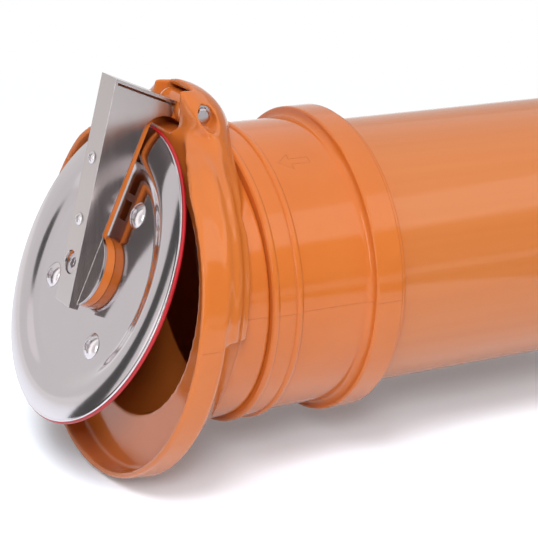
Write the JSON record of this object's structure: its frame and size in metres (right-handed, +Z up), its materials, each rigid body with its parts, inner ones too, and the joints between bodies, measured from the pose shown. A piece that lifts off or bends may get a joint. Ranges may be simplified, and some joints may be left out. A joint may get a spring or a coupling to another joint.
{
  "type": "backwater valve",
  "caption": "End flap backwater valve on a drain pipe: round moulded cup with a tilted seat and top-hinged steel flap on an arm, joined to the pipe by a ring-seal sleeve.",
  "frame": {"origin": "centre of the drain pipe's free end", "axes": "+X along the pipe away from the valve, +Z up towards the hinge; water leaves towards -X"},
  "size_m": [0.2864, 0.1444, 0.1595],
  "materials": {
    "orange_pvc": "moulded gloss",
    "pipe_pvc": "extruded gloss",
    "polished_steel": "polished",
    "satin_steel": "satin brushed",
    "bright_steel": "bright turned",
    "red_rubber": "moulded silicone",
    "black_rubber": "moulded",
    "white_plastic": "turned acetal"
  },
  "bodies": {
    "housing": {"flap_housing": "orange_pvc", "socket_sleeve": "orange_pvc", "seal_retainer_ring": "orange_pvc", "spigot_o_ring": "black_rubber", "pipe_lip_seal": "black_rubber", "drain_pipe": "pipe_pvc", "hinge_pin": "bright_steel", "pin_retainers": "bright_steel"},
    "flap": {"hinge_bushes": "white_plastic", "arm_core": "orange_pvc", "arm_cover": "satin_steel", "cover_screws": "bright_steel", "flap_disc": "polished_steel", "flap_seal": "red_rubber", "backing_plate": "satin_steel", "flap_bolts": "bright_steel", "flap_washers": "bright_steel", "flap_nuts": "bright_steel", "centre_bolt": "bright_steel", "centre_washer": "bright_steel", "centre_nut": "bright_steel"}
  },
  "joints": [
    {"name": "flap_swing", "type": "hinge", "parent": "housing", "child": "flap", "pos_m": [-0.22494, 0, 0.06849], "axis": [0, 1, 0], "range_deg": [-15, 45]}
  ]
}
